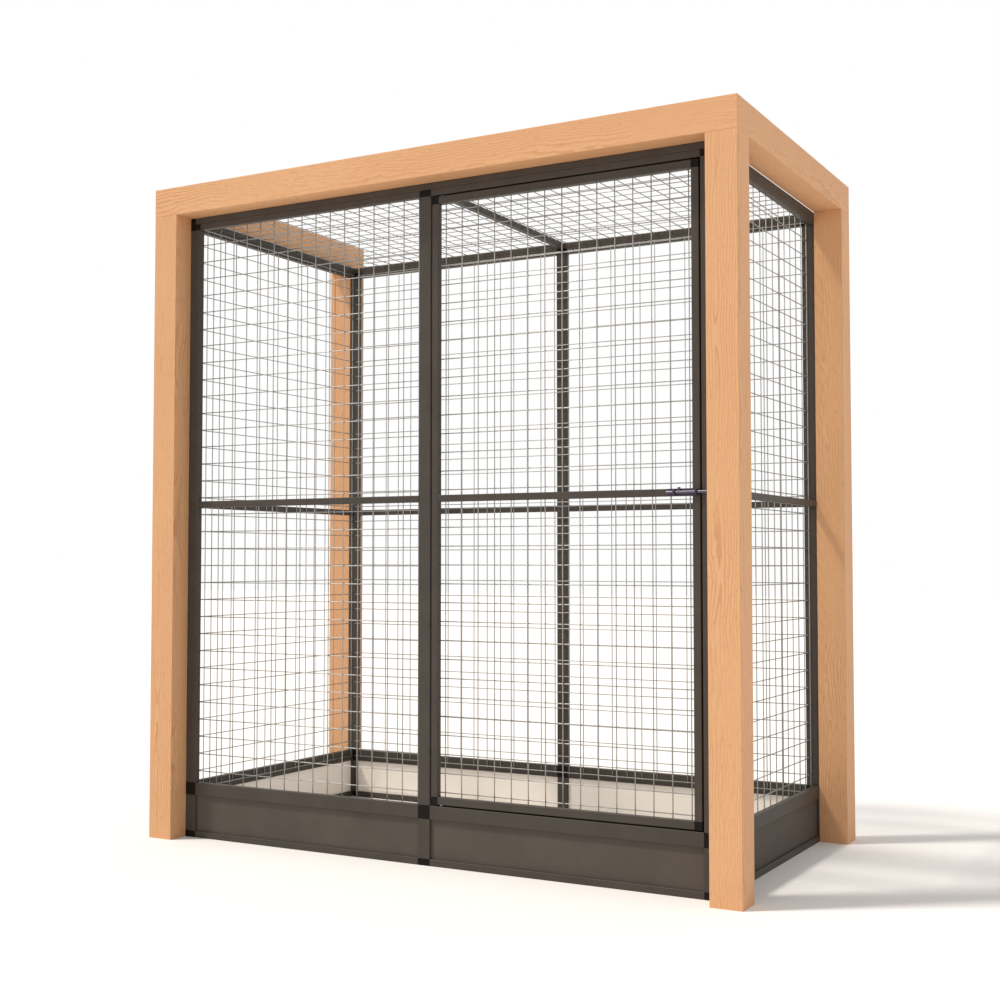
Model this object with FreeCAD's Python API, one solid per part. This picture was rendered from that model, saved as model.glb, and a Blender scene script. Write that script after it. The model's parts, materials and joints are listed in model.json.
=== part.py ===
import FreeCAD, Part
import math
import os

# Cat enclosure: a wire cage of square tubes standing inside a timber surround.
# Millimetres. X to the right seen from the front, the front faces -Y, Z up.
# The origin is the middle of the footprint, on the floor.

# Cage, outside sizes
CAGE_WIDE = 1806.0
CAGE_DEEP = 920.0
CAGE_TALL = 2000.0

# Square tubes of the cage
TUBE = 20.0
TUBE_WALL = 1.5
TUBE_EDGE = 1.2
KICK_RAIL_TALL = 40.0
MULLION_WIDE = 40.0

# Heights of the rails' undersides above the floor
KICK_RAIL_Z = 134.0
MID_RAIL_Z = 1055.0

# Moulded connectors and end caps
SPIGOT_LONG = 32.0
SPIGOT_FIT = 0.2
CAP_THICK = 3.0
CAP_PLUG_LONG = 20.0

# Solid kick panels, held by tongues in the rails
PANEL_THICK = 4.0
PANEL_TONGUE = 8.0
PANEL_FIT = 0.25
TONGUE_END_GAP = 3.0

# Welded wire mesh
WIRE = 3.0
WIRE_SIDES = 6
COLUMN_PITCH = 54.4
ROW_PITCH = 55.0
WIRE_EDGE_GAP = 6.0
WIRE_LAP = 9.0
WIRE_OVERHANG = 4.0
FIRST_ROW_DROP = 21.0
SHEET_CORNER_GAP = 3.0

# Door in the right bay
DOOR_GAP = 4.5
DOOR_TUBE = 22.0
STOP_CLEARANCE = 0.3
STOP_THICK = 2.0
STOP_WIDE = 16.0
STOP_LAP = 3.5
STOP_HINGE_GAP = 2.0
DOOR_FIRST_ROW_RISE = 10.5

# Door pivots
PIN_RADIUS = 4.0
PIN_IN_DOOR = 18.0
PIN_CLEARANCE = 0.05
PIN_SEAT_FIT = 0.03
PIN_END_GAP = 1.0
BUSH_WALL = 2.0
BUSH_DEEP = 12.0
BUSH_FLANGE = 18.0
BUSH_FIT = 0.1
PIVOT_FLOAT = 0.3

# Slide bolt on the door
BOLT_RADIUS = 4.5
BOLT_CLEARANCE = 0.05
BOLT_PLATE_LONG = 88.0
BOLT_PLATE_THICK = 2.0
BOLT_PLATE_INSET = 2.0
BOLT_GUIDE_LONG = 6.0
BOLT_GUIDE_WALL = 3.0
BOLT_GUIDE_INSET = 3.0
BOLT_TAIL_INSET = 17.0
BOLT_OVER_PLATE = 0.5
BOLT_REACH = 17.0
BOLT_THROW = 18.0
BOLT_DRAW = 4.0
BOLT_SPARE = 2.0
BOLT_KNOB_RADIUS = 4.0
BOLT_KNOB_TALL = 9.0
KEEPER_LONG = 14.0
KEEPER_BORE_GAP = 0.6

# Timber surround
TIMBER = 90.0
TIMBER_EDGE = 1.0
TENON_LONG = 36.0
TENON_THICK = 12.0
TENON_DEEP = 40.0
TENON_EDGE = 16.0
TENON_FIT = 0.2

X, Y, Z = range(3)

# Planes of the cage
SIDE = CAGE_WIDE / 2
FRONT = -CAGE_DEEP / 2
BACK = CAGE_DEEP / 2
INNER_SIDE = SIDE - TUBE
INNER_FRONT = FRONT + TUBE
INNER_BACK = BACK - TUBE
BAY_OUTER = INNER_SIDE - TUBE
BAY_INNER = MULLION_WIDE / 2
ROOF_Z = CAGE_TALL - TUBE
TOP_RAIL_Z = ROOF_Z - TUBE
KICK_TOP = KICK_RAIL_Z + KICK_RAIL_TALL
MID_TOP = MID_RAIL_Z + TUBE

# Rail levels of the panels: name, underside, top
LEVELS = (
    ("bottom", 0.0, TUBE),
    ("kick", KICK_RAIL_Z, KICK_TOP),
    ("top", TOP_RAIL_Z, ROOF_Z),
)

# Uprights run between those levels
UPRIGHT_SPANS = ((TUBE, KICK_RAIL_Z), (KICK_TOP, TOP_RAIL_Z))

# Door outline inside its opening
DOOR_LEFT = BAY_INNER + DOOR_GAP
DOOR_RIGHT = BAY_OUTER - DOOR_GAP
DOOR_LOW = KICK_TOP + DOOR_GAP
DOOR_HIGH = TOP_RAIL_Z - DOOR_GAP
DOOR_INNER = INNER_FRONT - STOP_CLEARANCE
PIVOT_X = DOOR_LEFT + DOOR_TUBE / 2
PIVOT_Y = FRONT + TUBE / 2
BUSH = 2 * (PIN_RADIUS + BUSH_WALL)

# Outer faces of the timber, which stands against the cage's sides
TIMBER_SIDE = SIDE + TIMBER
TIMBER_FRONT = FRONT - (TIMBER - TUBE)
TIMBER_BACK = -TIMBER_FRONT

nodes = {}


def add(name, *shapes):
    """Put solids into a named sub-part."""
    nodes.setdefault(name, []).extend(shapes)


def box(low, high):
    size = [high[k] - low[k] for k in (X, Y, Z)]
    return Part.makeBox(*size, FreeCAD.Vector(*low))


def prism(axis, start, end, outline):
    """Solid of an outline, given in the other two axes, carried along one axis."""
    across = [k for k in (X, Y, Z) if k != axis]
    points = []
    for pair in outline:
        point = [0.0, 0.0, 0.0]
        point[axis] = start
        point[across[0]] = pair[0]
        point[across[1]] = pair[1]
        points.append(FreeCAD.Vector(*point))
    travel = [0.0, 0.0, 0.0]
    travel[axis] = end - start
    face = Part.Face(Part.makePolygon(points + points[:1]))
    return face.extrude(FreeCAD.Vector(*travel))


def cylinder(axis, start, end, centre, radius):
    """Round solid along one axis; the centre is given in the other two axes."""
    across = [k for k in (X, Y, Z) if k != axis]
    point = [0.0, 0.0, 0.0]
    point[axis] = start
    point[across[0]] = centre[0]
    point[across[1]] = centre[1]
    direction = [0.0, 0.0, 0.0]
    direction[axis] = 1.0
    return Part.makeCylinder(radius, end - start, FreeCAD.Vector(*point), FreeCAD.Vector(*direction))


def bar(low, high, axis, edge):
    """Straight bar whose four long edges are chamfered."""
    a, b = [k for k in (X, Y, Z) if k != axis]
    outline = (
        (low[a] + edge, low[b]), (high[a] - edge, low[b]),
        (high[a], low[b] + edge), (high[a], high[b] - edge),
        (high[a] - edge, high[b]), (low[a] + edge, high[b]),
        (low[a], high[b] - edge), (low[a], low[b] + edge),
    )
    return prism(axis, low[axis], high[axis], outline)


def shrunk(low, high, axis, inset):
    """Corners of a box drawn in on the two axes across a third."""
    new_low = [low[k] if k == axis else low[k] + inset for k in (X, Y, Z)]
    new_high = [high[k] if k == axis else high[k] - inset for k in (X, Y, Z)]
    return new_low, new_high


def tube(low, high, axis):
    """Open-ended square tube."""
    bore = box(*shrunk(low, high, axis, TUBE_WALL))
    return bar(low, high, axis, TUBE_EDGE).cut(bore)


def spigot(low, high, axis, sign, length):
    """Solid that fills the bore of a tube standing on one face of a block."""
    new_low, new_high = shrunk(low, high, axis, TUBE_WALL + SPIGOT_FIT)
    if sign > 0:
        new_low[axis] = high[axis]
        new_high[axis] = high[axis] + length
    else:
        new_high[axis] = low[axis]
        new_low[axis] = low[axis] - length
    return box(new_low, new_high)


def connector(low, high, arms):
    """Moulded block that joins tubes end to end at a corner or a T."""
    body = box(low, high)
    for axis, sign in arms:
        body = body.fuse(spigot(low, high, axis, sign, SPIGOT_LONG))
    return body.removeSplitter()


def pivot_block(z_span, wide):
    """Square block around the door's pivot axis."""
    low = (PIVOT_X - wide / 2, PIVOT_Y - wide / 2, z_span[0])
    high = (PIVOT_X + wide / 2, PIVOT_Y + wide / 2, z_span[1])
    return box(low, high)


def kick_panel(axis, start, end, face, sign):
    """Solid panel with a tongue along its top and bottom edge."""
    across = Y if axis == X else X
    middle = face + sign * TUBE / 2

    def slab(first, last, low_z, high_z, extra):
        low = [0.0, 0.0, low_z]
        high = [0.0, 0.0, high_z]
        low[axis] = first
        high[axis] = last
        low[across] = middle - PANEL_THICK / 2 - extra
        high[across] = middle + PANEL_THICK / 2 + extra
        return box(low, high)

    setback = SPIGOT_LONG + TONGUE_END_GAP
    tongue_start = start + setback
    tongue_end = end - setback
    panel = slab(start, end, TUBE, KICK_RAIL_Z, 0.0)
    slots = []
    for low_z, high_z in ((TUBE - PANEL_TONGUE, TUBE), (KICK_RAIL_Z, KICK_RAIL_Z + PANEL_TONGUE)):
        panel = panel.fuse(slab(tongue_start, tongue_end, low_z, high_z, 0.0))
        slots.append(slab(tongue_start - PANEL_FIT, tongue_end + PANEL_FIT, low_z, high_z, PANEL_FIT))
    return panel.removeSplitter(), slots


def wire(axis, start, end, centre, contact):
    """Flat-sided wire; two flats, square to the contact axis, meet the frame and the crossing wires."""
    across = [k for k in (X, Y, Z) if k != axis]
    radius = WIRE / 2 / math.cos(math.pi / WIRE_SIDES)
    turn = 0.0 if contact == across[1] else math.pi / 2
    outline = []
    for k in range(WIRE_SIDES):
        angle = turn + k * 2 * math.pi / WIRE_SIDES
        outline.append((centre[0] + radius * math.cos(angle), centre[1] + radius * math.sin(angle)))
    return prism(axis, start, end, outline)


def spread(low, high, pitch):
    """Evenly pitched places, centred between two edges."""
    count = int((high - low - 2 * WIRE_EDGE_GAP) // pitch) + 1
    first = (low + high - (count - 1) * pitch) / 2
    return [first + k * pitch for k in range(count)]


def fill(low, high, pitch):
    """Even places from edge to edge, at least a pitch apart."""
    count = int((high - low) // pitch)
    return [low + k * (high - low) / count for k in range(count + 1)]


def rows_from(first, limit):
    count = int((limit - first) // ROW_PITCH) + 1
    return [first + k * ROW_PITCH for k in range(count)]


def upright_sheet(axis, columns, rows, low, high, z_low, z_high, face, sign):
    """Wire sheet on a panel's inner face: upright wires on the frame, level wires behind them."""
    near = face + sign * WIRE / 2
    far = face + sign * WIRE * 3 / 2
    depth = Y if axis == X else X
    wires = []
    for place in columns:
        centre = (place, near) if axis == X else (near, place)
        wires.append(wire(Z, z_low, z_high, centre, depth))
    for z in rows:
        wires.append(wire(axis, low, high, (far, z), depth))
    return wires


# Rows of the fixed sheets: the lowest lies behind the kick rail, the highest behind the top rail
FIXED_ROWS = rows_from(KICK_TOP - FIRST_ROW_DROP, ROOF_Z - WIRE_OVERHANG)
SHEET_LOW = FIXED_ROWS[0] - WIRE_OVERHANG
SHEET_HIGH = FIXED_ROWS[-1] + WIRE_OVERHANG


def end_panel(prefix, face, sign, mid_bays, has_door):
    """Front or rear panel, which stands between the two side panels."""
    y_low = min(face, face + sign * TUBE)
    y_high = y_low + TUBE
    inner = face + sign * TUBE
    bays = ((-BAY_OUTER, -BAY_INNER), (BAY_INNER, BAY_OUTER))
    columns = ((-INNER_SIDE, -BAY_OUTER), (-BAY_INNER, BAY_INNER), (BAY_OUTER, INNER_SIDE))

    slots = []
    for x_low, x_high in bays:
        panel, panel_slots = kick_panel(X, x_low, x_high, face, sign)
        add(prefix + "_kick_panels", panel)
        slots.extend(panel_slots)

    for x_low, x_high in columns:
        name = "_mullion" if x_low == -BAY_INNER else "_stiles"
        for z_low, z_high in UPRIGHT_SPANS:
            add(prefix + name, tube((x_low, y_low, z_low), (x_high, y_high, z_high), Z))

    for level, z_low, z_high in LEVELS:
        for x_low, x_high in bays:
            rail = tube((x_low, y_low, z_low), (x_high, y_high, z_high), X)
            for slot in slots:
                rail = rail.cut(slot)
            if has_door and x_low > 0 and level != "bottom":
                rail = rail.cut(pivot_seat(level))
            add(prefix + "_" + level + "_rails", rail)
        for x_low, x_high in columns:
            arms = []
            if x_low != -INNER_SIDE:
                arms.append((X, -1))
            if x_high != INNER_SIDE:
                arms.append((X, 1))
            if level != "bottom":
                arms.append((Z, -1))
            if level != "top":
                arms.append((Z, 1))
            block = connector((x_low, y_low, z_low), (x_high, y_high, z_high), arms)
            if has_door and x_low == -BAY_INNER and level != "bottom":
                block = block.cut(pivot_seat(level))
            add(prefix + "_connectors", block)

    for x_low, x_high in mid_bays:
        name = "_mid_rail" if len(mid_bays) == 1 else "_mid_rails"
        add(prefix + name, tube((x_low, y_low, MID_RAIL_Z), (x_high, y_high, MID_TOP), X))

    sheet_low, sheet_high = mid_bays[0][0], mid_bays[-1][1]
    places = spread(sheet_low, sheet_high, COLUMN_PITCH)
    add(prefix + "_mesh", *upright_sheet(
        X, places, FIXED_ROWS, sheet_low - WIRE_LAP, sheet_high + WIRE_LAP,
        SHEET_LOW, SHEET_HIGH, inner, sign))


def pivot_seat(level):
    """Cutter for the bush in the kick rail or the top rail, with the block inside it."""
    seat_deep = BUSH_DEEP + BUSH_FIT
    span = (KICK_TOP - seat_deep, KICK_TOP) if level == "kick" else (TOP_RAIL_Z, TOP_RAIL_Z + seat_deep)
    return pivot_block(span, BUSH + 2 * BUSH_FIT)


def end_cap(low, high, sign):
    """Black cap on the end of a rail that runs front to back, with its plug."""
    body = box(low, high)
    body = body.fuse(spigot(low, high, Y, sign, CAP_PLUG_LONG))
    return body.removeSplitter()


def capped_rail(name, x_low, z_low, z_high, slots):
    """Rail over the full depth of the cage, closed by a cap at each end."""
    x_high = x_low + TUBE
    rail = tube((x_low, FRONT + CAP_THICK, z_low), (x_high, BACK - CAP_THICK, z_high), Y)
    for slot in slots:
        rail = rail.cut(slot)
    add(name, rail)
    add("end_caps", end_cap((x_low, FRONT, z_low), (x_high, FRONT + CAP_THICK, z_high), 1))
    add("end_caps", end_cap((x_low, BACK - CAP_THICK, z_low), (x_high, BACK, z_high), -1))


def side_panel(prefix, side):
    """Left or right panel over the full depth of the cage."""
    outer = side * SIDE
    inner = side * INNER_SIDE
    x_low = min(outer, inner)
    x_high = x_low + TUBE
    panel, slots = kick_panel(Y, INNER_FRONT, INNER_BACK, outer, -side)
    add(prefix + "_kick_panel", panel)
    for level, z_low, z_high in LEVELS:
        capped_rail(prefix + "_" + level + "_rail", x_low, z_low, z_high, slots)
    for y_low in (FRONT, INNER_BACK):
        for z_low, z_high in UPRIGHT_SPANS:
            add(prefix + "_stiles", tube((x_low, y_low, z_low), (x_high, y_low + TUBE, z_high), Z))
    add(prefix + "_mid_rail", tube((x_low, INNER_FRONT, MID_RAIL_Z), (x_high, INNER_BACK, MID_TOP), Y))
    sheet_end = INNER_BACK - 2 * WIRE - SHEET_CORNER_GAP
    edge_wire = sheet_end - WIRE_OVERHANG
    places = fill(-edge_wire, edge_wire, COLUMN_PITCH)
    add(prefix + "_mesh", *upright_sheet(
        Y, places, FIXED_ROWS, -sheet_end, sheet_end, SHEET_LOW, SHEET_HIGH, inner, -side))


def roof():
    """Tube frame with a bar across its middle and a wire sheet in each half."""
    for side in (-1, 1):
        x_low = min(side * SIDE, side * INNER_SIDE)
        capped_rail("roof_side_rails", x_low, ROOF_Z, CAGE_TALL, [])
    for y_low in (FRONT, INNER_BACK):
        low = (-INNER_SIDE, y_low, ROOF_Z)
        high = (INNER_SIDE, y_low + TUBE, CAGE_TALL)
        add("roof_cross_rails", tube(low, high, X))
    bar_half = TUBE / 2
    add("roof_mid_bar", tube((-bar_half, INNER_FRONT, ROOF_Z), (bar_half, INNER_BACK, CAGE_TALL), Y))
    middle = ROOF_Z + TUBE / 2
    for x_low, x_high in ((-INNER_SIDE, -bar_half), (bar_half, INNER_SIDE)):
        for x in spread(x_low, x_high, COLUMN_PITCH):
            add("roof_mesh", wire(Y, INNER_FRONT, INNER_BACK, (x, middle - WIRE / 2), Z))
        for y in spread(INNER_FRONT, INNER_BACK, ROW_PITCH):
            add("roof_mesh", wire(X, x_low, x_high, (y, middle + WIRE / 2), Z))


def door():
    """Door of the right bay, turning on pins in its hinge-side corners."""
    left_inner = DOOR_LEFT + DOOR_TUBE
    right_inner = DOOR_RIGHT - DOOR_TUBE
    low_inner = DOOR_LOW + DOOR_TUBE
    high_inner = DOOR_HIGH - DOOR_TUBE
    for name, x_low in (("door_hinge_stile", DOOR_LEFT), ("door_latch_stile", right_inner)):
        low = (x_low, FRONT, low_inner)
        high = (x_low + DOOR_TUBE, DOOR_INNER, high_inner)
        add(name, tube(low, high, Z))
    rails = (
        ("door_bottom_rail", DOOR_LOW, DOOR_TUBE),
        ("door_mid_rail", MID_RAIL_Z, TUBE),
        ("door_top_rail", high_inner, DOOR_TUBE),
    )
    for name, z_low, tall in rails:
        low = (left_inner, FRONT, z_low)
        high = (right_inner, DOOR_INNER, z_low + tall)
        add(name, tube(low, high, X))

    pin_seat = PIN_RADIUS + PIN_SEAT_FIT
    for z_low, z_arm in ((DOOR_LOW, 1), (high_inner, -1)):
        for x_low, x_arm in ((DOOR_LEFT, 1), (right_inner, -1)):
            low = (x_low, FRONT, z_low)
            high = (x_low + DOOR_TUBE, DOOR_INNER, z_low + DOOR_TUBE)
            block = connector(low, high, ((X, x_arm), (Z, z_arm)))
            if x_low == DOOR_LEFT:
                start = DOOR_LOW if z_arm > 0 else DOOR_HIGH - PIN_IN_DOOR
                hole = cylinder(Z, start, start + PIN_IN_DOOR, (PIVOT_X, PIVOT_Y), pin_seat)
                block = block.cut(hole)
            add("door_connectors", block)

    rows = rows_from(low_inner + DOOR_FIRST_ROW_RISE, high_inner - WIRE_EDGE_GAP)
    add("door_mesh", *upright_sheet(
        X, spread(left_inner, right_inner, COLUMN_PITCH), rows,
        left_inner - WIRE_LAP, right_inner + WIRE_LAP, low_inner - WIRE_LAP, high_inner + WIRE_LAP,
        DOOR_INNER, 1))


def door_stops():
    """Flat strips on the frame's inner face that the closed door rests against."""
    # The hinge stile's inner corner sweeps past the pivot, so the strips start beyond it
    start = DOOR_LEFT + DOOR_TUBE + STOP_HINGE_GAP
    end = DOOR_RIGHT - STOP_LAP + STOP_WIDE
    low = DOOR_LOW + STOP_LAP
    high = DOOR_HIGH - STOP_LAP
    back = INNER_FRONT + STOP_THICK
    add("stop_strips", box((start, INNER_FRONT, low - STOP_WIDE), (end, back, low)))
    add("stop_strips", box((start, INNER_FRONT, high), (end, back, high + STOP_WIDE)))
    add("stop_strips", box((end - STOP_WIDE, INNER_FRONT, low), (end, back, high)))


def pivots():
    """Pins fixed in the door and square flanged bushes fixed in the rails above and below it."""
    flange = DOOR_GAP - PIVOT_FLOAT
    centre = (PIVOT_X, PIVOT_Y)
    pin_reach = DOOR_GAP + BUSH_DEEP - PIN_END_GAP
    ends = (
        (KICK_TOP, 1, DOOR_LOW - pin_reach, DOOR_LOW + PIN_IN_DOOR),
        (TOP_RAIL_Z, -1, DOOR_HIGH - PIN_IN_DOOR, DOOR_HIGH + pin_reach),
    )
    for seat, sign, pin_low, pin_high in ends:
        add("pivot_pins", cylinder(Z, pin_low, pin_high, centre, PIN_RADIUS))
        flange_span = sorted((seat, seat + sign * flange))
        sleeve_span = sorted((seat, seat - sign * BUSH_DEEP))
        bush = pivot_block(flange_span, BUSH_FLANGE).fuse(pivot_block(sleeve_span, BUSH))
        bore_low = min(flange_span[0], sleeve_span[0])
        bore_high = max(flange_span[1], sleeve_span[1])
        bush = bush.cut(cylinder(Z, bore_low, bore_high, centre, PIN_RADIUS + PIN_CLEARANCE))
        add("pivot_bushes", bush.removeSplitter())


def slide_bolt():
    """Bolt on the door's mid rail, its guides, and the keeper on the fixed upright."""
    plate_right = DOOR_RIGHT - BOLT_PLATE_INSET
    plate_left = plate_right - BOLT_PLATE_LONG
    plate_front = FRONT - BOLT_PLATE_THICK
    bolt_y = plate_front - BOLT_OVER_PLATE - BOLT_RADIUS
    bolt_z = MID_RAIL_Z + TUBE / 2
    centre = (bolt_y, bolt_z)
    guide_front = bolt_y - BOLT_RADIUS - BOLT_GUIDE_WALL
    guide_half = BOLT_RADIUS + BOLT_GUIDE_WALL

    plate = box((plate_left, plate_front, MID_RAIL_Z), (plate_right, FRONT, MID_TOP))
    guide_lefts = (plate_left + BOLT_TAIL_INSET, plate_right - BOLT_GUIDE_INSET - BOLT_GUIDE_LONG)
    for x in guide_lefts:
        low = (x, guide_front, bolt_z - guide_half)
        high = (x + BOLT_GUIDE_LONG, plate_front, bolt_z + guide_half)
        plate = plate.fuse(bar(low, high, X, BOLT_GUIDE_WALL))
    bore = cylinder(X, plate_left, plate_right, centre, BOLT_RADIUS + BOLT_CLEARANCE)
    add("bolt_plate", plate.cut(bore).removeSplitter())

    tip = BAY_OUTER + BOLT_REACH
    tail = guide_lefts[0] - BOLT_THROW - BOLT_SPARE
    knob_x = guide_lefts[0] + BOLT_GUIDE_LONG + BOLT_DRAW + BOLT_SPARE + BOLT_KNOB_RADIUS
    rod = cylinder(X, tail, tip, centre, BOLT_RADIUS)
    knob_top = bolt_z + BOLT_RADIUS + BOLT_KNOB_TALL
    knob = cylinder(Z, bolt_z, knob_top, (knob_x, bolt_y), BOLT_KNOB_RADIUS)
    add("bolt_rod", rod.fuse(knob).removeSplitter())

    keeper_left = INNER_SIDE + (TUBE - KEEPER_LONG) / 2
    low = (keeper_left, guide_front, bolt_z - guide_half)
    high = (keeper_left + KEEPER_LONG, FRONT, bolt_z + guide_half)
    keeper = bar(low, high, X, BOLT_GUIDE_WALL)
    hole = cylinder(X, keeper_left, keeper_left + KEEPER_LONG, centre, BOLT_RADIUS + KEEPER_BORE_GAP)
    add("bolt_keeper", keeper.cut(hole))


def timber():
    """Posts, the three beams on them and the loose tenons that join them."""
    posts = {}
    for side, side_name in ((-1, "left"), (1, "right")):
        for end, end_name in ((-1, "front"), (1, "rear")):
            x_low = min(side * TIMBER_SIDE, side * SIDE)
            y_low = min(end * TIMBER_BACK, end * (TIMBER_BACK - TIMBER))
            low = (x_low, y_low, 0.0)
            high = (x_low + TIMBER, y_low + TIMBER, CAGE_TALL)
            posts[(side, end)] = ["post_" + end_name + "_" + side_name, bar(low, high, Z, TIMBER_EDGE)]

    # The front beam is mitred to the side beams, which end square over the rear posts
    beam_top = CAGE_TALL + TIMBER
    inner_front = TIMBER_FRONT + TIMBER
    outline = (
        (-TIMBER_SIDE, TIMBER_FRONT), (TIMBER_SIDE, TIMBER_FRONT),
        (SIDE, inner_front), (-SIDE, inner_front),
    )
    stick = bar((-TIMBER_SIDE, TIMBER_FRONT, CAGE_TALL), (TIMBER_SIDE, inner_front, beam_top), X, TIMBER_EDGE)
    beams = {0: ["beam_front", stick.common(prism(Z, CAGE_TALL, beam_top, outline))]}
    for side, name in ((-1, "beam_left"), (1, "beam_right")):
        outer = side * TIMBER_SIDE
        inner = side * SIDE
        x_low = min(outer, inner)
        outline = ((outer, TIMBER_FRONT), (outer, TIMBER_BACK), (inner, TIMBER_BACK), (inner, inner_front))
        stick = bar((x_low, TIMBER_FRONT, CAGE_TALL), (x_low + TIMBER, TIMBER_BACK, beam_top), Y, TIMBER_EDGE)
        beams[side] = [name, stick.common(prism(Z, CAGE_TALL, beam_top, outline))]

    near = TENON_EDGE
    far = TIMBER - TENON_EDGE / 2 - TENON_LONG
    opposite = TIMBER - TENON_EDGE - TENON_THICK
    centred = (TIMBER - TENON_LONG) / 2
    for side, end in posts:
        if end < 0:
            # One tenon in each of the two beams that meet over the post, clear of the mitre
            places = (
                (0, far, TENON_LONG, near, TENON_THICK),
                (side, near, TENON_THICK, far, TENON_LONG),
            )
        else:
            places = (
                (side, near, TENON_THICK, centred, TENON_LONG),
                (side, opposite, TENON_THICK, centred, TENON_LONG),
            )
        for beam_key, from_side, wide, from_end, deep in places:
            x_pair = sorted((side * (TIMBER_SIDE - from_side), side * (TIMBER_SIDE - from_side - wide)))
            y_pair = sorted((end * (TIMBER_BACK - from_end), end * (TIMBER_BACK - from_end - deep)))
            low = (x_pair[0], y_pair[0], CAGE_TALL - TENON_DEEP)
            high = (x_pair[1], y_pair[1], CAGE_TALL + TENON_DEEP)
            add("frame_tenons", box(low, high))
            mortise = box([v - TENON_FIT for v in low], [v + TENON_FIT for v in high])
            posts[(side, end)][1] = posts[(side, end)][1].cut(mortise)
            beams[beam_key][1] = beams[beam_key][1].cut(mortise)

    for name, shape in list(posts.values()) + list(beams.values()):
        add(name, shape)


LEFT_BAY = (-BAY_OUTER, -BAY_INNER)
RIGHT_BAY = (BAY_INNER, BAY_OUTER)

timber()
end_panel("front", FRONT, 1, (LEFT_BAY,), True)
end_panel("rear", BACK, -1, (LEFT_BAY, RIGHT_BAY), False)
side_panel("left", -1)
side_panel("right", 1)
roof()
door()
door_stops()
pivots()
slide_bolt()

os.makedirs("parts", exist_ok=True)
for node_name, solids in nodes.items():
    Part.makeCompound(solids).exportStep("parts/" + node_name + ".step")
print(len(nodes), "sub-parts,", sum(len(solids) for solids in nodes.values()), "solids")
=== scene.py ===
import itertools
import json
import math

import bmesh
import bpy
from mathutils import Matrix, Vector


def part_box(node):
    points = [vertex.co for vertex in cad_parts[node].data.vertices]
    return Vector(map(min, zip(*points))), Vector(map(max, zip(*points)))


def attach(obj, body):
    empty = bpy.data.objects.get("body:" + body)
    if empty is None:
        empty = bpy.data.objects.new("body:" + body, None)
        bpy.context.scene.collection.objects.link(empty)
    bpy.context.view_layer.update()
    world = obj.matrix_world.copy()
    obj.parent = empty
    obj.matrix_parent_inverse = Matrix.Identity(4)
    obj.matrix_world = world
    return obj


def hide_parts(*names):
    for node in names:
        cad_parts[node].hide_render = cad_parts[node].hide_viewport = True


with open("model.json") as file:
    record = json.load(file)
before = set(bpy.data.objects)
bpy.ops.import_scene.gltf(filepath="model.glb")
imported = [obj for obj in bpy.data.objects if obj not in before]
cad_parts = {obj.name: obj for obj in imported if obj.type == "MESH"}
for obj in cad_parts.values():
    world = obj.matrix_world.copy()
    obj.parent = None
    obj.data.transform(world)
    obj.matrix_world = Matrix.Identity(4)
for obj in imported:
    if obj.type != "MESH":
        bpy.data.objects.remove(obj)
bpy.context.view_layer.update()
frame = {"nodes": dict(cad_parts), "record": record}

# Camera of the photograph: place in metres, angles in radians, lens and sensor in millimetres
CAMERA_PLACE = (2.21314, -3.97873, 0.88164)
CAMERA_PITCH = 0.04326
CAMERA_TURN = 0.50811
CAMERA_LENS = 50.99
CAMERA_SENSOR = 36.0

# Sun: which way its light travels, and how soft its shadows are
SUN_TRAVEL = (0.444, 0.317, -0.839)
SUN_STRENGTH = 2.4
SUN_ANGLE = math.radians(7.0)
SUN_COLOUR = (1.0, 0.955, 0.88)

# Soft light from all round, and the white that is seen behind the part
SKY_STRENGTH = 0.63
SKY_COLOUR = (0.98, 0.99, 1.0)
BACKGROUND_STRENGTH = 1.0
BACKGROUND_COLOUR = (1.0, 1.0, 1.0)

# Floor
FLOOR_HALF = 30.0
FLOOR_COLOUR = (0.94, 0.915, 0.89)

# Edges rounded in the picture, in metres, and the angle from which an edge counts as sharp
TIMBER_ROUND = 0.0008
EDGE_ROUND = 0.0008
ROUND_SEGMENTS = 2
SHARP_ANGLE = math.radians(25.0)

# Round wires: the dome at each end as a share of the radius, and the radius left at its tip
WIRE_SIDES = 12
WIRE_DOME = 0.5
WIRE_TIP = 0.55
MERGE_DISTANCE = 1e-5

# Below, a noise pattern is its scale, detail and roughness, and a share is two stops of value and amount
# Timber colours, and each stick's own tone: how far it changes the colour and moves the grain
WOOD_LIGHT = (0.765, 0.430, 0.220)
WOOD_DARK = (0.490, 0.200, 0.078)
LIGHT_IN_MIDDLE = 0.72
LIGHT_IN_DEEP = 0.4
TIMBER_TONES = (0.0, 1.0, -0.5, 0.5, -1.0)
TONE_CHANGE = 0.03
TONE_SHIFT = 3.7

# Timber rings: their pitch in metres, the heart's place beside the stick's middle, and how they sway
RING_PITCH = 0.0075
WAVE_PERIOD = math.pi / 10
RING_WAVE = {"Scale": WAVE_PERIOD / RING_PITCH, "Distortion": 3.5, "Detail": 3.0, "Detail Scale": 1.2}
RING_STOPS = (0.0, 0.5, 0.84, 0.94, 1.0)
PITH_OFFSET = (0.014, 0.022)
SWAY = 0.055
SWAY_STRETCH = 0.36
SWAY_NOISE = (9.0, 3.0, 0.5)
FAINT_NOISE = (7.0, 2.0, 0.5)
FAINT_SHARE = ((0.4, 0.7), (0.6, 0.0))

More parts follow.
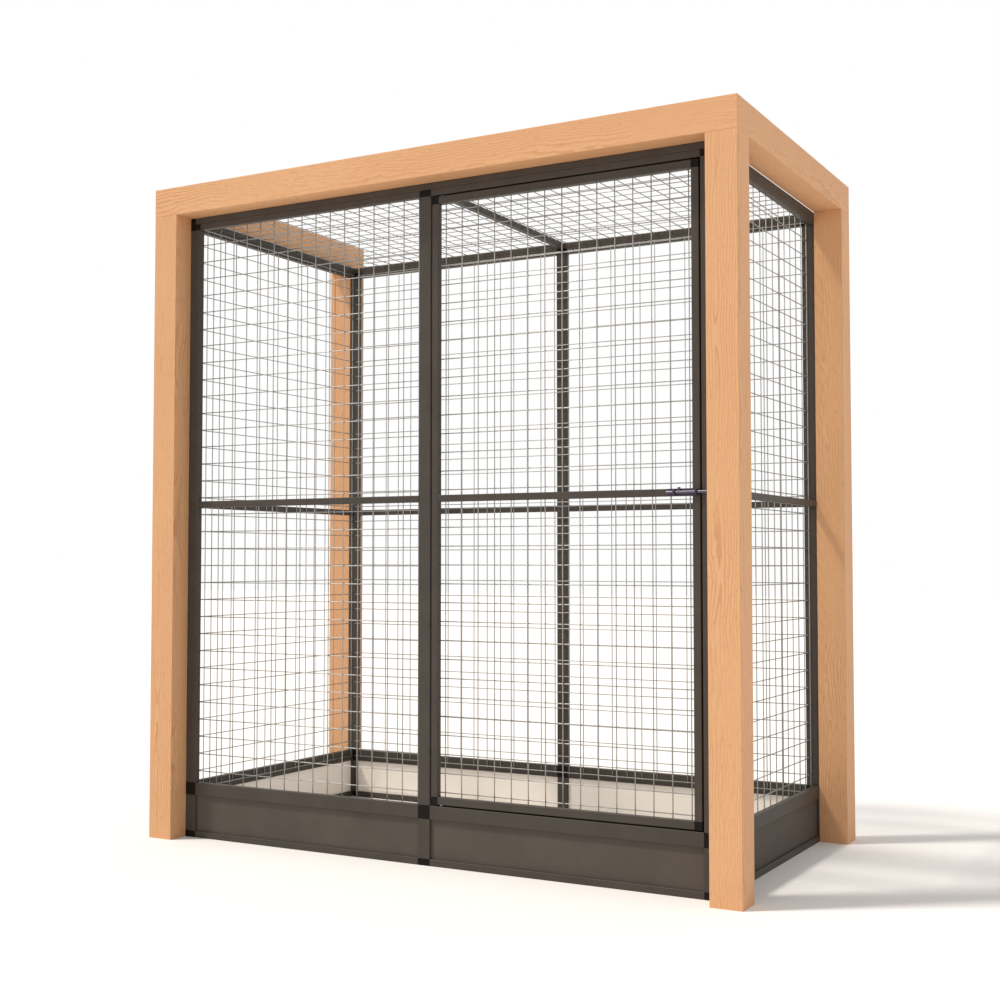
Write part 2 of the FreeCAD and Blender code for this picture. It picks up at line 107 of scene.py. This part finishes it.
# Timber fibres, pores and cloudy patches
GRAIN_STRETCH = 0.05
FIBRE_NOISE = (520.0, 4.0, 0.6)
FIBRE_SHARE = ((0.42, 0.0), (0.72, 0.6))
PORE_STRETCH = 5.0 * GRAIN_STRETCH
PORE_FINER = 1.6
PORE_NOISE = (240.0, 1.0, 0.4)
PORE_SHARE = ((0.66, 0.0), (0.74, 0.75))
CLOUD_NOISE = (5.0, 3.0, 0.55)
CLOUD_SHARE = ((0.35, 0.0), (0.7, 0.6))
FIBRE_BUMP = 0.18
RING_BUMP = 0.06
TIMBER_RELIEF = 0.0004
TIMBER_SPECULAR = 0.3
TIMBER_ROUGHNESS = (0.5, 0.68)

# Where a mottled surface goes from its darker to its lighter colour, and the depth of its bumps in metres
MOTTLE_STOPS = (0.3, 0.7)
FINE_RELIEF = 0.0002

# Powder coat of the tubes
COAT_COLOUR = (0.065, 0.054, 0.0445)
COAT_TONES = (0.9, 1.12)
COAT_MOTTLE = (9.0, 4.0, 0.6)
COAT_SPECK = (1600.0, 1.0, 0.5)
SPECK_SHARE = ((0.4, 0.0), (0.8, 0.35))
COAT_PEEL = (700.0, 2.0, 0.5)
COAT_BUMP = 0.22
COAT_SPECULAR = 0.2
COAT_ROUGHNESS = (0.42, 0.56)

# Kick panels: dark outside, pale inside
PANEL_COLOUR = (0.098, 0.083, 0.070)
PANEL_TONES = (0.92, 1.1)
PANEL_INSIDE = (0.97, 0.89, 0.80)
INSIDE_TONES = (0.95, 1.0)
INSIDE_SHARE = ((0.45, 0.0), (0.55, 1.0))
PANEL_MOTTLE = (7.0, 4.0, 0.6)
PANEL_PEEL = (500.0, 2.0, 0.5)
PANEL_BUMP = 0.12
PANEL_SPECULAR = 0.06
PANEL_ROUGHNESS = (0.4, 0.55)
PANEL_INWARD = {"front": (0, 1, 0), "rear": (0, -1, 0), "left": (1, 0, 0), "right": (-1, 0, 0)}

# Black plastic
PLASTIC_COLOUR = (0.008, 0.0062, 0.0054)
PLASTIC_TONES = (0.8, 1.3)
PLASTIC_MOTTLE = (60.0, 2.0, 0.5)
PLASTIC_GRAIN = (1400.0, 2.0, 0.6)
PLASTIC_BUMP = 0.25
PLASTIC_SPECULAR = 0.12
PLASTIC_ROUGHNESS = (0.5, 0.65)

# Galvanised wire
ZINC_LIGHT = (0.47, 0.455, 0.43)
ZINC_DARK = (0.29, 0.28, 0.265)
ZINC_SPANGLE = (420.0, 3.0, 0.6)
ZINC_PATCH = (30.0, 3.0, 0.5)
PATCH_SHARE = ((0.35, 0.0), (0.7, 0.6))
ZINC_BUMP = 0.1
ZINC_METALLIC = 0.85
ZINC_ROUGHNESS = (0.34, 0.56)

# Bolt and pivots: colour, how metallic, and the range of roughness
BOLT_METAL = ((0.036, 0.025, 0.044), 0.35, (0.26, 0.4))
ROD_METAL = ((0.105, 0.088, 0.122), 0.7, (0.22, 0.34))
PIVOT_METAL = ((0.55, 0.55, 0.56), 1.0, (0.25, 0.4))
METAL_TONES = (0.85, 1.15)
METAL_TINT = (80.0, 2.0, 0.5)
METAL_LINES = (1500.0, 2.0, 0.5)
METAL_STRETCH = (0.1, 1.0, 1.0)
METAL_BUMP = 0.08


def opaque(colour):
    return (*colour, 1.0)


def shaded(colour, factor):
    return tuple(factor * c for c in colour)


def blended(first, second, share):
    """A colour with this share of the first and the rest of the second."""
    return tuple(share * a + (1.0 - share) * b for a, b in zip(first, second))


def long_axis(low, high):
    return max(range(3), key=lambda k: high[k] - low[k])


def other_axes(axis):
    return [k for k in range(3) if k != axis]


def link_object(name, data):
    made = bpy.data.objects.new(name, data)
    bpy.context.collection.objects.link(made)
    return made


class Graph:
    """A material's node tree with its surface shader."""

    def __init__(self, name):
        self.material = bpy.data.materials.new(name)
        self.material.use_nodes = True
        self.nodes = self.material.node_tree.nodes
        self.links = self.material.node_tree.links
        self.shader = self.nodes["Principled BSDF"]
        self.place = self.add("ShaderNodeTexCoord").outputs["Object"]

    def add(self, kind, **settings):
        node = self.nodes.new(kind)
        for key, value in settings.items():
            setattr(node, key, value)
        return node

    def join(self, source, target):
        self.links.new(source, target)

    def mapped(self, shift=(0.0, 0.0, 0.0), scale=(1.0, 1.0, 1.0)):
        node = self.add("ShaderNodeMapping")
        node.inputs["Location"].default_value = shift
        node.inputs["Scale"].default_value = scale
        self.join(self.place, node.inputs["Vector"])
        return node.outputs["Vector"]

    def noise(self, vector, pattern, output="Fac"):
        node = self.add("ShaderNodeTexNoise")
        for key, value in zip(("Scale", "Detail", "Roughness"), pattern):
            node.inputs[key].default_value = value
        self.join(vector, node.inputs["Vector"])
        return node.outputs[output]

    def ramp(self, value, *stops):
        """Colours or greys along a value; each stop is a place and a colour or grey."""
        node = self.add("ShaderNodeValToRGB")
        elements = node.color_ramp.elements
        while len(elements) < len(stops):
            elements.new(0.5)
        for element, (place, colour) in zip(elements, stops):
            element.position = place
            element.color = opaque(colour if isinstance(colour, tuple) else (colour, colour, colour))
        self.join(value, node.inputs["Fac"])
        return node.outputs["Color"]

    def mottled(self, value, dark, light):
        return self.ramp(value, *zip(MOTTLE_STOPS, (dark, light)))

    def mix(self, factor, first, second):
        """Two colours mixed; each is a socket, or the second a plain colour."""
        node = self.add("ShaderNodeMix", data_type="RGBA")
        inputs = [socket for socket in node.inputs if socket.type == "RGBA"]
        self.join(factor, node.inputs["Factor"])
        self.join(first, inputs[0])
        if isinstance(second, tuple):
            inputs[1].default_value = opaque(second)
        else:
            self.join(second, inputs[1])
        return next(socket for socket in node.outputs if socket.type == "RGBA")

    def bump(self, height, strength, distance, below=None):
        node = self.add("ShaderNodeBump")
        node.inputs["Strength"].default_value = strength
        node.inputs["Distance"].default_value = distance
        self.join(height, node.inputs["Height"])
        if below is not None:
            self.join(below, node.inputs["Normal"])
        return node.outputs["Normal"]

    def finish(self, colour, normal, rough_by, roughness, **levels):
        """Join the colour and bumps, let a pattern set the roughness, and set the shader's plain levels."""
        spread = self.add("ShaderNodeMapRange")
        for key, value in zip(("To Min", "To Max"), roughness):
            spread.inputs[key].default_value = value
        self.join(rough_by, spread.inputs["Value"])
        self.join(colour, self.shader.inputs["Base Color"])
        self.join(spread.outputs["Result"], self.shader.inputs["Roughness"])
        self.join(normal, self.shader.inputs["Normal"])
        for key, value in levels.items():
            self.shader.inputs[key.replace("_", " ")].default_value = value
        return self.material


def timber(name, axis, centre, tone):
    """Planed softwood: growth rings that sway along the stick, fibres and short pores."""
    g = Graph(name)
    shift = [-c for c in centre]
    first, second = other_axes(axis)
    shift[first] += PITH_OFFSET[0] * (1.0 if tone > 0 else -1.0)
    shift[second] += PITH_OFFSET[1]
    shift[axis] = tone * TONE_SHIFT

    def along(stretch, finer=1.0):
        scale = [finer, finer, finer]
        scale[axis] = stretch
        return g.mapped(tuple(s * c for s, c in zip(shift, scale)), tuple(scale))

    grain = along(GRAIN_STRETCH)
    sway = g.add("ShaderNodeVectorMath", operation="MULTIPLY_ADD")
    sway.inputs[1].default_value = (SWAY, SWAY, SWAY)
    g.join(g.noise(along(SWAY_STRETCH), SWAY_NOISE, "Color"), sway.inputs[0])
    g.join(grain, sway.inputs[2])
    wave = g.add("ShaderNodeTexWave", wave_type="RINGS", rings_direction="XYZ"[axis], wave_profile="SAW")
    for key, value in RING_WAVE.items():
        wave.inputs[key].default_value = value
    g.join(sway.outputs["Vector"], wave.inputs["Vector"])
    rings = wave.outputs["Fac"]

    light = shaded(WOOD_LIGHT, 1.0 + TONE_CHANGE * tone)
    dark = shaded(WOOD_DARK, 1.0 + TONE_CHANGE * tone)
    middle = blended(light, dark, LIGHT_IN_MIDDLE)
    deep = blended(light, dark, LIGHT_IN_DEEP)
    colour = g.ramp(rings, *zip(RING_STOPS, (light, light, deep, deep, light)))
    faint = g.noise(along(SWAY_STRETCH), FAINT_NOISE)
    colour = g.mix(g.ramp(faint, *FAINT_SHARE), colour, light)
    fibre = g.noise(grain, FIBRE_NOISE)
    colour = g.mix(g.ramp(fibre, *FIBRE_SHARE), colour, deep)
    pores = g.noise(along(PORE_STRETCH, PORE_FINER), PORE_NOISE)
    colour = g.mix(g.ramp(pores, *PORE_SHARE), colour, dark)
    cloud = g.noise(along(SWAY_STRETCH), CLOUD_NOISE)
    colour = g.mix(g.ramp(cloud, *CLOUD_SHARE), colour, middle)

    normal = g.bump(fibre, FIBRE_BUMP, TIMBER_RELIEF)
    normal = g.bump(rings, RING_BUMP, TIMBER_RELIEF, normal)
    return g.finish(colour, normal, fibre, TIMBER_ROUGHNESS, Specular_IOR_Level=TIMBER_SPECULAR)


def powder_coat(name):
    """Satin powder coat: a fine orange peel and faint mottling."""
    g = Graph(name)
    dark, light = (shaded(COAT_COLOUR, tone) for tone in COAT_TONES)
    mottle = g.noise(g.place, COAT_MOTTLE)
    speck = g.noise(g.place, COAT_SPECK)
    colour = g.mix(g.ramp(speck, *SPECK_SHARE), g.mottled(mottle, dark, light), light)
    normal = g.bump(g.noise(g.place, COAT_PEEL), COAT_BUMP, FINE_RELIEF)
    return g.finish(colour, normal, mottle, COAT_ROUGHNESS, Specular_IOR_Level=COAT_SPECULAR)


def kick_board(name, inward):
    """Board with a dark satin coat outside and a pale inside, told apart by which way a face looks."""
    g = Graph(name)
    facing = g.add("ShaderNodeVectorMath", operation="DOT_PRODUCT")
    facing.inputs[1].default_value = inward
    g.join(g.add("ShaderNodeTexCoord").outputs["Normal"], facing.inputs[0])
    inside = g.ramp(facing.outputs["Value"], *INSIDE_SHARE)
    mottle = g.noise(g.place, PANEL_MOTTLE)
    outer_colour = g.mottled(mottle, *(shaded(PANEL_COLOUR, tone) for tone in PANEL_TONES))
    inner_colour = g.mottled(mottle, *(shaded(PANEL_INSIDE, tone) for tone in INSIDE_TONES))
    colour = g.mix(inside, outer_colour, inner_colour)
    normal = g.bump(g.noise(g.place, PANEL_PEEL), PANEL_BUMP, FINE_RELIEF)
    return g.finish(colour, normal, mottle, PANEL_ROUGHNESS, Specular_IOR_Level=PANEL_SPECULAR)


def plastic(name):
    """Moulded plastic with a fine spark-eroded grain."""
    g = Graph(name)
    grain = g.noise(g.place, PLASTIC_GRAIN)
    mottle = g.noise(g.place, PLASTIC_MOTTLE)
    colour = g.mottled(mottle, *(shaded(PLASTIC_COLOUR, tone) for tone in PLASTIC_TONES))
    normal = g.bump(grain, PLASTIC_BUMP, FINE_RELIEF)
    return g.finish(colour, normal, grain, PLASTIC_ROUGHNESS, Specular_IOR_Level=PLASTIC_SPECULAR)


def zinc(name):
    """Galvanised wire: grey spangle with duller patches."""
    g = Graph(name)
    spangle = g.noise(g.place, ZINC_SPANGLE)
    patch = g.noise(g.place, ZINC_PATCH)
    colour = g.mix(g.ramp(patch, *PATCH_SHARE), g.mottled(spangle, ZINC_DARK, ZINC_LIGHT), ZINC_DARK)
    normal = g.bump(spangle, ZINC_BUMP, FINE_RELIEF)
    return g.finish(colour, normal, spangle, ZINC_ROUGHNESS, Metallic=ZINC_METALLIC)


def metal(name, base, metallic, roughness):
    """Turned or coated metal with fine lines along it."""
    g = Graph(name)
    lines = g.noise(g.mapped(scale=METAL_STRETCH), METAL_LINES)
    tint = g.noise(g.place, METAL_TINT)
    colour = g.mottled(tint, *(shaded(base, tone) for tone in METAL_TONES))
    normal = g.bump(lines, METAL_BUMP, FINE_RELIEF)
    return g.finish(colour, normal, lines, roughness, Metallic=metallic)


def give(node, material):
    """Put a material on a CAD node."""
    slots = frame["nodes"][node].data.materials
    slots.clear()
    slots.append(material)


def soften(node, width):
    """Round a node's sharp edges, so that they catch the light as real ones do."""
    part = frame["nodes"][node]
    weld = part.modifiers.new("weld", "WELD")
    weld.merge_threshold = MERGE_DISTANCE
    bevel = part.modifiers.new("round", "BEVEL")
    bevel.width = width
    bevel.segments = ROUND_SEGMENTS
    bevel.limit_method = "ANGLE"
    bevel.angle_limit = SHARP_ANGLE


def wires_of(node):
    """The straight wires of a CAD sheet: each one's long axis and the two corners of its box."""
    work = bmesh.new()
    work.from_mesh(frame["nodes"][node].data)
    bmesh.ops.remove_doubles(work, verts=work.verts, dist=MERGE_DISTANCE)
    unseen = set(work.verts)
    wires = []
    while unseen:
        stack = [unseen.pop()]
        group = []
        while stack:
            vert = stack.pop()
            group.append(vert.co.copy())
            for edge in vert.link_edges:
                other = edge.other_vert(vert)
                if other in unseen:
                    unseen.remove(other)
                    stack.append(other)
        low = Vector([min(co[k] for co in group) for k in range(3)])
        high = Vector([max(co[k] for co in group) for k in range(3)])
        wires.append((long_axis(low, high), low, high))
    work.free()
    wires.sort(key=lambda wire: (wire[0], tuple(wire[1])))
    return wires


def add_wire(work, axis, low, high):
    """One round wire with slightly domed ends, in place of a flat-sided one."""
    first, second = other_axes(axis)
    middle = (low + high) / 2
    radius = min(high[k] - low[k] for k in (first, second)) / 2
    dome = radius * WIRE_DOME
    stations = ((low[axis], WIRE_TIP), (low[axis] + dome, 1.0),
                (high[axis] - dome, 1.0), (high[axis], WIRE_TIP))
    rings = []
    for along, share in stations:
        ring = []
        for k in range(WIRE_SIDES):
            angle = 2 * math.pi * k / WIRE_SIDES
            point = middle.copy()
            point[axis] = along
            point[first] += radius * share * math.cos(angle)
            point[second] += radius * share * math.sin(angle)
            ring.append(work.verts.new(point))
        rings.append(ring)
    for lower, upper in zip(rings, rings[1:]):
        for k in range(WIRE_SIDES):
            after = (k + 1) % WIRE_SIDES
            work.faces.new((lower[k], lower[after], upper[after], upper[k])).smooth = True
    work.faces.new(rings[0])
    work.faces.new(rings[-1])


def round_wires(node):
    """Round wires for a whole CAD sheet, as one object."""
    work = bmesh.new()
    for axis, low, high in wires_of(node):
        add_wire(work, axis, low, high)
    bmesh.ops.recalc_face_normals(work, faces=work.faces)
    mesh = bpy.data.meshes.new(node + "_wires")
    work.to_mesh(mesh)
    work.free()
    return link_object(node + "_wires", mesh)


def body_of_node(node):
    bodies = frame["record"]["behaviour"]["bodies"]
    return next(body for body, names in bodies.items() if node in names)


def dress():
    """Materials for every CAD node, rounded edges, and round wires for the sheets."""
    coat = powder_coat("satin_coat")
    black = plastic("black_plastic")
    wire = zinc("galvanised_wire")
    bolt = metal("bolt_coat", *BOLT_METAL)
    rod = metal("rod_metal", *ROD_METAL)
    steel = metal("turned_steel", *PIVOT_METAL)
    boards = {side: kick_board("kick_board_" + side, way) for side, way in PANEL_INWARD.items()}
    plain = {
        "pivot_pins": steel, "pivot_bushes": black,
        "bolt_plate": bolt, "bolt_rod": rod, "bolt_keeper": bolt,
    }
    tones = itertools.cycle(TIMBER_TONES)
    for node in sorted(frame["nodes"]):
        if node.startswith(("post_", "beam_")) or node == "frame_tenons":
            low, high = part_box(node)
            give(node, timber("timber_" + node, long_axis(low, high), (low + high) / 2, next(tones)))
            soften(node, TIMBER_ROUND)
        elif node.endswith("_mesh"):
            piece = round_wires(node)
            piece.data.materials.append(wire)
            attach(piece, body_of_node(node))
            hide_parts(node)
        elif "kick_panel" in node:
            give(node, boards[node.split("_")[0]])
        elif node in plain:
            give(node, plain[node])
        elif node.endswith(("_connectors", "_caps")):
            give(node, black)
            soften(node, EDGE_ROUND)
        else:
            give(node, coat)
            soften(node, EDGE_ROUND)


def floor():
    """Pale floor, large enough to run out of the picture."""
    corners = [(x * FLOOR_HALF, y * FLOOR_HALF, 0.0) for x, y in ((-1, -1), (1, -1), (1, 1), (-1, 1))]
    mesh = bpy.data.meshes.new("floor")
    mesh.from_pydata(corners, [], [(0, 1, 2, 3)])
    link_object("floor", mesh)
    material = bpy.data.materials.new("floor")
    material.use_nodes = True
    nodes = material.node_tree.nodes
    nodes.clear()
    diffuse = nodes.new("ShaderNodeBsdfDiffuse")
    diffuse.inputs["Color"].default_value = opaque(FLOOR_COLOUR)
    output = nodes.new("ShaderNodeOutputMaterial")
    material.node_tree.links.new(diffuse.outputs["BSDF"], output.inputs["Surface"])
    mesh.materials.append(material)


def background_seen(nodes, links):
    """1 for rays that show the background: straight from the camera, in a reflection or through glass."""
    path = nodes.new("ShaderNodeLightPath")
    seen = path.outputs["Is Camera Ray"]
    for kind in ("Is Glossy Ray", "Is Transmission Ray"):
        either = nodes.new("ShaderNodeMath")
        either.operation = "MAXIMUM"
        links.new(seen, either.inputs[0])
        links.new(path.outputs[kind], either.inputs[1])
        seen = either.outputs["Value"]
    return seen


def sky():
    """Soft light from all round, with a white background for the camera."""
    world = bpy.data.worlds.new("studio")
    world.use_nodes = True
    bpy.context.scene.world = world
    nodes = world.node_tree.nodes
    links = world.node_tree.links
    nodes.clear()
    choose = nodes.new("ShaderNodeMixShader")
    links.new(background_seen(nodes, links), choose.inputs["Fac"])
    lights = ((SKY_COLOUR, SKY_STRENGTH), (BACKGROUND_COLOUR, BACKGROUND_STRENGTH))
    for socket, (colour, strength) in enumerate(lights, start=1):
        light = nodes.new("ShaderNodeBackground")
        light.inputs["Color"].default_value = opaque(colour)
        light.inputs["Strength"].default_value = strength
        links.new(light.outputs["Background"], choose.inputs[socket])
    output = nodes.new("ShaderNodeOutputWorld")
    links.new(choose.outputs["Shader"], output.inputs["Surface"])


def sun():
    """The one lamp."""
    lamp = bpy.data.lights.new("sun", "SUN")
    lamp.energy = SUN_STRENGTH
    lamp.angle = SUN_ANGLE
    lamp.color = SUN_COLOUR
    holder = link_object("sun", lamp)
    holder.rotation_mode = "QUATERNION"
    holder.rotation_quaternion = Vector(SUN_TRAVEL).to_track_quat("-Z", "Y")


def camera():
    """The photograph's viewpoint."""
    data = bpy.data.cameras.new("camera")
    data.sensor_width = CAMERA_SENSOR
    data.lens = CAMERA_LENS
    eye = link_object("camera", data)
    eye.location = CAMERA_PLACE
    eye.rotation_euler = (math.pi / 2 + CAMERA_PITCH, 0.0, CAMERA_TURN)
    bpy.context.scene.camera = eye


bpy.context.scene.view_settings.view_transform = "Standard"
dress()
floor()
sky()
sun()
camera()
